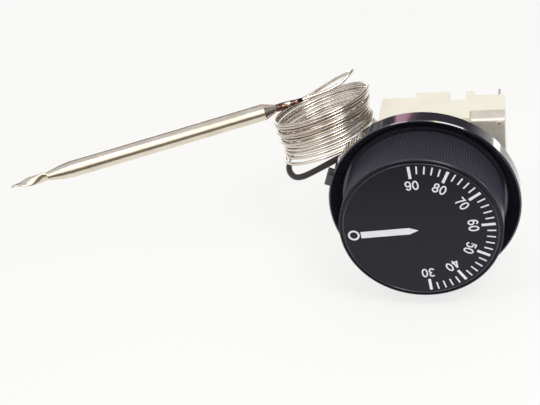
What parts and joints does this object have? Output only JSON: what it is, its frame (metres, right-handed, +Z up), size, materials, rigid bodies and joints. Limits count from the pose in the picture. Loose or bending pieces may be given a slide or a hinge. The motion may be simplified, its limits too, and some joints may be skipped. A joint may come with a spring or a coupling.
{
  "type": "three-phase thermostat",
  "caption": "Panel thermostat with a fluted dial knob and dished bezel, a moulded three-pole switch behind it, a coiled metal capillary and a rod-shaped sensing bulb.",
  "frame": {"origin": "middle of the two panel screw holes, on the spindle axis, at the bracket's panel face", "axes": "+Y runs back from the panel along the spindle, +Z is up with the dial's pointer nub at upper left, +X is to the right seen from the front"},
  "size_m": [0.1769, 0.0686, 0.0755],
  "materials": {
    "knob_black": "satin",
    "bezel_black": "gloss",
    "cream_plastic": "matt",
    "zinc_steel": "zinc plated",
    "turned_steel": "turned",
    "spring_steel": "blued",
    "brass": "rolled strip",
    "silver": "polished",
    "lever_plastic": "matt",
    "capillary_steel": "drawn",
    "sleeve_dark": "matt",
    "bulb_nickel": "satin nickel"
  },
  "bodies": {
    "root": {"bush": "brass", "stop_pin": "turned_steel", "bezel": "bezel_black", "mounting_bracket": "zinc_steel", "chassis_plate": "zinc_steel", "plate_rivets": "zinc_steel", "switch_housing": "cream_plastic", "diaphragm_capsule": "turned_steel", "pivot_pin": "turned_steel", "trim_screw": "brass", "fixed_contacts": "silver", "capillary_lead": "capillary_steel", "capillary_sleeve": "sleeve_dark", "capillary_coil": "capillary_steel", "capillary_loop": "capillary_steel", "sensing_bulb": "bulb_nickel", "line_terminal_1": "brass", "load_terminal_1": "brass", "line_terminal_2": "brass", "load_terminal_2": "brass", "line_terminal_3": "brass", "load_terminal_3": "brass"},
    "knob_body": {"knob": "knob_black", "knob_clip": "spring_steel", "spindle": "turned_steel", "retaining_clip": "spring_steel"},
    "nut_body": {"adjusting_nut": "brass", "range_spring": "spring_steel"},
    "lever_body": {"rocker_lever": "zinc_steel"},
    "transfer_body": {"transfer_pin": "cream_plastic"},
    "plunger_body": {"plunger_bar": "lever_plastic"},
    "arm_body_1": {"contact_arm_1": "brass", "moving_contact_1": "silver"},
    "arm_body_2": {"contact_arm_2": "brass", "moving_contact_2": "silver"},
    "arm_body_3": {"contact_arm_3": "brass", "moving_contact_3": "silver"}
  },
  "joints": [
    {"name": "knob_turn", "type": "hinge", "parent": "root", "child": "knob_body", "pos_m": [0, 0, 0], "axis": [0, 1, 0], "range_deg": [0, 295]},
    {"name": "nut_feed", "type": "slide", "parent": "root", "child": "nut_body", "axis": [0, 1, 0], "range_m": [0, 0.00042]},
    {"name": "lever_rock", "type": "hinge", "parent": "root", "child": "lever_body", "pos_m": [0.0065, 0.01675, 0], "axis": [0, 0, 1], "range_deg": [0, 4]},
    {"name": "transfer_push", "type": "slide", "parent": "root", "child": "transfer_body", "axis": [0, 1, 0], "range_m": [0, 0.00068]},
    {"name": "plunger_push", "type": "slide", "parent": "root", "child": "plunger_body", "axis": [0, 1, 0], "range_m": [0, 0.0005]},
    {"name": "arm_swing_1", "type": "hinge", "parent": "root", "child": "arm_body_1", "pos_m": [0.003, 0.0218, 0.0152], "axis": [0, 0, 1], "range_deg": [0, 2.75]},
    {"name": "arm_swing_2", "type": "hinge", "parent": "root", "child": "arm_body_2", "pos_m": [0.003, 0.0218, 0], "axis": [0, 0, 1], "range_deg": [0, 2.75]},
    {"name": "arm_swing_3", "type": "hinge", "parent": "root", "child": "arm_body_3", "pos_m": [0.003, 0.0218, -0.0152], "axis": [0, 0, 1], "range_deg": [0, 2.75]}
  ],
  "couplings": [
    {"joint": "nut_feed", "follows": "knob_turn", "m_per_rad": 0.000079577},
    {"joint": "transfer_push", "follows": "lever_rock", "m_per_rad": 0.0095},
    {"joint": "plunger_push", "follows": "lever_rock", "m_per_rad": 0.007},
    {"joint": "arm_swing_1", "follows": "lever_rock", "ratio": 0.6667},
    {"joint": "arm_swing_2", "follows": "lever_rock", "ratio": 0.6667},
    {"joint": "arm_swing_3", "follows": "lever_rock", "ratio": 0.6667}
  ]
}
